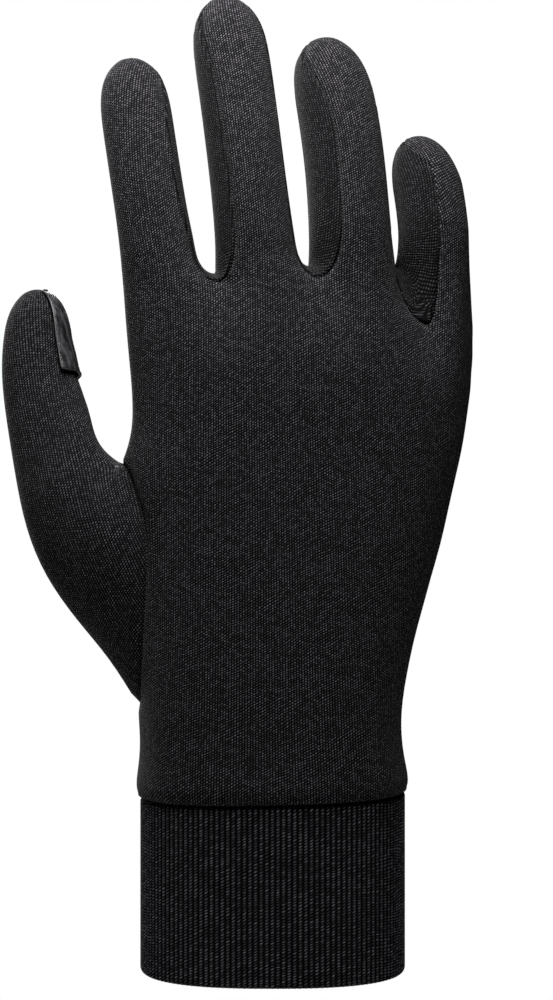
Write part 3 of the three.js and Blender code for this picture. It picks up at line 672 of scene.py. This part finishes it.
def end_to_end(sheet):
    """The way along a strip, from its highest end to the one farthest from it."""
    reached = [max(sheet.verts, key=lambda v: v.co.z)]
    seen = set(reached)
    for vert in reached:
        for edge in vert.link_edges:
            near = edge.other_vert(vert)
            if near not in seen:
                seen.add(near)
                reached.append(near)
    matrix = spread_matrix(len(sheet.verts), [[v.index for v in e.verts] for e in sheet.edges])
    target = np.zeros(len(sheet.verts))
    for end, value in ((reached[0], 0), (reached[-1], 1)):
        matrix[end.index] = 0
        matrix[end.index, end.index] = 1
        target[end.index] = value
    travelled = np.linalg.solve(matrix, target)
    ways = []
    for vert in sheet.verts:
        way = Vector()
        for edge in vert.link_edges:
            near = edge.other_vert(vert)
            way += (near.co - vert.co) * (travelled[near.index] - travelled[vert.index])
        ways.append(way.normalized())
    tree = tree_of([vert.co for vert in sheet.verts])
    return lambda place: ways[tree.find(place)[1]]


def lengthwise_cut(vert, axis):
    """The edges from a vert to the tip, always along the one that leads most nearly that way."""
    path = []
    while True:
        ahead = max(vert.link_edges,
                    key=lambda e: (e.other_vert(vert).co - vert.co).normalized().dot(axis))
        following = ahead.other_vert(vert)
        if (following.co - vert.co).dot(axis) <= 0:
            return path
        path.append(ahead.index)
        vert = following


class GLOVE_OT_cuff(bpy.types.Operator):
    """Knit the ribbed cuff"""
    bl_idname = "glove.cuff"
    bl_label = "Ribbed cuff"

    def execute(self, context):
        settings = context.scene.glove_cuff
        low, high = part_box("cuff")
        # Filled by the wrist, the cuff is a little deeper than its solid, as deep as the hem
        half = (high - low) / 2 + Vector((0, 0.4 * MM, 0))
        columns = settings.ribs * RIB_COLUMNS
        shares = np.arange(columns) / columns
        x, y, out_x, out_y = self.oval(half, shares)
        rib = 0.5 - 0.5 * np.cos(2 * math.pi * shares * settings.ribs)
        rows = self.section(settings.wall, high.z)
        fold = settings.wall / 2
        # The hem is this much higher at the cuff's +X side than at its middle
        hem_tilt = 0.7 * MM

        cuff = bmesh.new()
        number = cuff.verts.layers.int.new("column")
        along = cuff.verts.layers.float.new("along")
        ring = bmesh.ops.create_circle(cuff, segments=columns, radius=1)["verts"]
        for index, vert in enumerate(ring):
            vert[number] = index
        edges = cuff.edges[:]
        first = edges
        previous, path = rows[0], 0
        for inset, height in rows:
            if (inset, height) != rows[0]:
                made = bmesh.ops.extrude_edge_only(cuff, edges=edges)["geom"]
                ring = [g for g in made if isinstance(g, bmesh.types.BMVert)]
                edges = [g for g in made if isinstance(g, bmesh.types.BMEdge)]
            path += math.hypot(inset - previous[0], height - previous[1])
            previous = (inset, height)
            raised = -1 if inset > fold else 1
            for vert in ring:
                i = vert[number]
                depth = inset + settings.rib_height * (1 - rib[i]) * raised
                vert[along] = path
                tilt = hem_tilt * x[i] / half.x if 40 * MM < height < high.z else 0
                vert.co = (x[i] - out_x[i] * depth, y[i] - out_y[i] * depth, height + tilt)
        bmesh.ops.bridge_loops(cuff, edges=first + edges)
        bmesh.ops.recalc_face_normals(cuff, faces=cuff.faces)
        knit = cuff.loops.layers.uv.new("knit")
        for face in cuff.faces:
            wraps = max(v[number] for v in face.verts) - min(v[number] for v in face.verts) > 2
            for loop in face.loops:
                column = loop.vert[number]
                if wraps and column == 0:
                    column = columns
                loop[knit].uv = (column / RIB_COLUMNS, loop.vert[along] / MM)
        material = knit_material("rib_knit", 1.0, settings.course / MM, 0.2 * MM,
                                 settings.gap_shade_colour, settings.crest_yarn_and_highlight_colour, 1.0)
        new_piece("ribbed_cuff", cuff, material, "rib", "cuff")
        return {"FINISHED"}

    def oval(self, half, shares):
        """Places at these shares of the way round the cuff, with their outward directions."""
        turns = np.linspace(0, 2 * math.pi, 4001)
        shape = [np.sign(f(turns)) * np.abs(f(turns)) ** (2 / SQUARENESS)
                 for f in (np.cos, np.sin)]
        outline = np.stack([half.x * shape[0], half.y * shape[1]], 1)
        steps = np.hypot(*np.diff(outline, axis=0).T)
        run = np.concatenate([[0], np.cumsum(steps)])
        x = np.interp(shares * run[-1], run, outline[:, 0])
        y = np.interp(shares * run[-1], run, outline[:, 1])
        dx = np.roll(x, -1) - np.roll(x, 1)
        dy = np.roll(y, -1) - np.roll(y, 1)
        size = np.hypot(dx, dy)
        return x, y, dy / size, -dx / size

    def section(self, wall, top):
        """The cuff's section, as pairs of inset and height: from the fold up the outside, over
        the edge that is sewn inside the hem and down the inside."""
        fold = wall / 2
        tuck, shoulder, hem = 1.4 * MM, 0.6 * MM, 45.05 * MM
        quarter = [math.pi / 2 * step / 6 for step in range(7)]
        rows = [(fold * (1 - math.sin(turn)), fold * (1 - math.cos(turn))) for turn in quarter]
        rows += [(0, height * MM) for height in (10, 20, 30, 40)]
        # A round shoulder just under the hem
        rows += [(tuck * (1 - math.cos(turn)), hem - shoulder * (1 - math.sin(turn)))
                 for turn in quarter]
        rows += [(tuck, top), (tuck + wall, top), (wall, 42 * MM)]
        rows += [(wall, height * MM) for height in (30, 20, 10)]
        rows += [(fold * (1 + math.sin(turn)), fold * (1 - math.cos(turn)))
                 for turn in quarter[:0:-1]]
        return rows


class GLOVE_OT_pad(bpy.types.Operator):
    """Lay the smooth touch pad on the thumb"""
    bl_idname = "glove.pad"
    bl_label = "Touch pad"

    def execute(self, context):
        pad = copy_of("thumb_touch_pad")
        bmesh.ops.join_triangles(pad, faces=pad.faces, angle_face_threshold=math.radians(40),
                                 angle_shape_threshold=math.radians(60))
        # The narrow upper end is tucked under the cloth at the thumb's tip
        end, tuck = 1.2 * MM, 1.0 * MM
        top = max(vert.co.z for vert in pad.verts)
        for vert in pad.verts:
            if vert.co.z > top - end:
                vert.co.z -= tuck
        self.pipe(pad, context.scene.glove_pad)
        piece = new_piece("touch_pad", pad, pad_material(context.scene.glove_pad), "touch_pad",
                          "thumb_touch_pad")
        smooth = piece.modifiers.new("Round", "SUBSURF")
        smooth.levels = smooth.render_levels = 3
        return {"FINISHED"}

    def pipe(self, pad, settings):
        """Lays the rolled edge along the outline of the pad's outer side, a little sunk into it."""
        sunk = 0.15 * MM
        face = pad.copy()
        face.normal_update()
        around = tree_of_nodes(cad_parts)
        rim_fold = math.radians(50)
        sides = [g for g in islands(face.faces[:], rim_fold)
                 if len(g) > SIDE_SHARE * len(face.faces)]
        outer = set(max(sides, key=lambda group: open_share(group, around)))
        rest = [f for f in face.faces if f not in outer]
        bmesh.ops.delete(face, geom=rest, context="FACES")
        outline = max(edge_loops(face), key=len)[:-1]
        curve = bpy.data.curves.new("piping", "CURVE")
        curve.dimensions = "3D"
        curve.bevel_depth = settings.piping / 2
        curve.bevel_resolution = 2
        curve.resolution_u = 6
        spline = curve.splines.new("NURBS")
        spline.points.add(len(outline) - 1)
        for point, vert in zip(spline.points, outline):
            point.co = (*(vert.co - vert.normal * sunk), 1)
        spline.use_cyclic_u = True
        spline.order_u = 4
        face.free()
        piping = bpy.data.objects.new("pad_piping", curve)
        bpy.context.scene.collection.objects.link(piping)
        curve.materials.append(plain_material("coated_piping", settings.piping_colour, 0.4))
        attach(piping, BODY)


class GLOVE_OT_stage(bpy.types.Operator):
    """Set the pale floor, the soft lights and the camera"""
    bl_idname = "glove.stage"
    bl_label = "Stage"

    def execute(self, context):
        settings = context.scene.glove_stage
        scene = context.scene
        scene.view_settings.view_transform = "Standard"
        disc = bmesh.new()
        bmesh.ops.create_circle(disc, segments=128, radius=0.34, cap_ends=True)
        bmesh.ops.translate(disc, verts=disc.verts, vec=(0, 0, -settings.floor))
        mesh = bpy.data.meshes.new("floor")
        disc.to_mesh(mesh)
        disc.free()
        floor = bpy.data.objects.new("floor", mesh)
        scene.collection.objects.link(floor)
        paper, _, shader = new_material("matt_paper")
        shader.inputs["Base Color"].default_value = (*linear(0xF2F2F2), 1)
        shader.inputs["Roughness"].default_value = 0.9
        mesh.materials.append(paper)

        # The backdrop is white to look at and lights the cloth only faintly
        world = bpy.data.worlds.new("studio")
        scene.world = world
        world.use_nodes = True
        tree = world.node_tree
        tree.nodes.clear()
        seen = add(tree, "ShaderNodeBackground", {"Color": (1, 1, 1, 1), "Strength": 1.0})
        soft = add(tree, "ShaderNodeBackground", {"Color": (1, 1, 1, 1), "Strength": 0.035})
        path = add(tree, "ShaderNodeLightPath")
        mixed = add(tree, "ShaderNodeMixShader", {}, {0: path.outputs["Is Camera Ray"],
                                                      1: soft.outputs[0], 2: seen.outputs[0]})
        add(tree, "ShaderNodeOutputWorld", {}, {"Surface": mixed.outputs[0]})

        self.light("key", (-0.015, -0.09, 0.37), (0, 0, 0.21), 0.16, settings.key)
        self.light("fill", (-0.45, -0.60, 0.25), (0, 0, 0.12), 0.50, settings.fill)
        self.light("back", (-0.30, 0.65, 0.40), (0, 0, 0.12), 0.60, settings.back)

        lens = bpy.data.cameras.new("camera")
        lens.sensor_width = 36
        lens.lens = lens.sensor_width * DISTANCE / PICTURE_WIDTH
        camera = bpy.data.objects.new("camera", lens)
        scene.collection.objects.link(camera)
        camera.location = (0.001, -DISTANCE, 0.1214)
        camera.rotation_euler = (math.radians(90), 0, 0)
        scene.camera = camera
        return {"FINISHED"}

    def light(self, name, place, target, size, power):
        """A square soft light aimed at a point."""
        lamp = bpy.data.lights.new(name, "AREA")
        lamp.size = size
        lamp.energy = power
        light = bpy.data.objects.new(name, lamp)
        bpy.context.scene.collection.objects.link(light)
        light.location = place
        way = Vector(target) - Vector(place)
        light.rotation_euler = way.to_track_quat("-Z", "Y").to_euler()


class GLOVE_PT_panel(bpy.types.Panel):
    """Sizes, colours and steps of the glove liner"""
    bl_idname = "GLOVE_PT_panel"
    bl_label = "Glove liner"
    bl_space_type = "VIEW_3D"
    bl_region_type = "UI"
    bl_category = "Glove"

    def draw(self, context):
        for name, operator in STEPS:
            column = self.layout.column()
            group = getattr(context.scene, name)
            for key in group.__annotations__:
                column.prop(group, key)
            column.operator(operator)


STEPS = [
    ("glove_knit", "glove.panels"),
    ("glove_cuff", "glove.cuff"),
    ("glove_pad", "glove.pad"),
    ("glove_stage", "glove.stage"),
]
GROUPS = {"glove_knit": GloveKnit, "glove_cuff": GloveCuff, "glove_pad": GlovePad,
          "glove_stage": GloveStage}
CLASSES = [GLOVE_OT_panels, GLOVE_OT_cuff, GLOVE_OT_pad, GLOVE_OT_stage, GLOVE_PT_panel]


def register():
    for group in GROUPS.values():
        bpy.utils.register_class(group)
    for made in CLASSES:
        bpy.utils.register_class(made)
    for name, group in GROUPS.items():
        setattr(bpy.types.Scene, name, PointerProperty(type=group))


def unregister():
    for name in GROUPS:
        delattr(bpy.types.Scene, name)
    for made in reversed(CLASSES):
        bpy.utils.unregister_class(made)
    for group in reversed(GROUPS.values()):
        bpy.utils.unregister_class(group)


def main():
    register()
    bpy.ops.glove.stage()
    bpy.ops.glove.panels()
    bpy.ops.glove.cuff()
    bpy.ops.glove.pad()


if __name__ == "__main__":
    main()
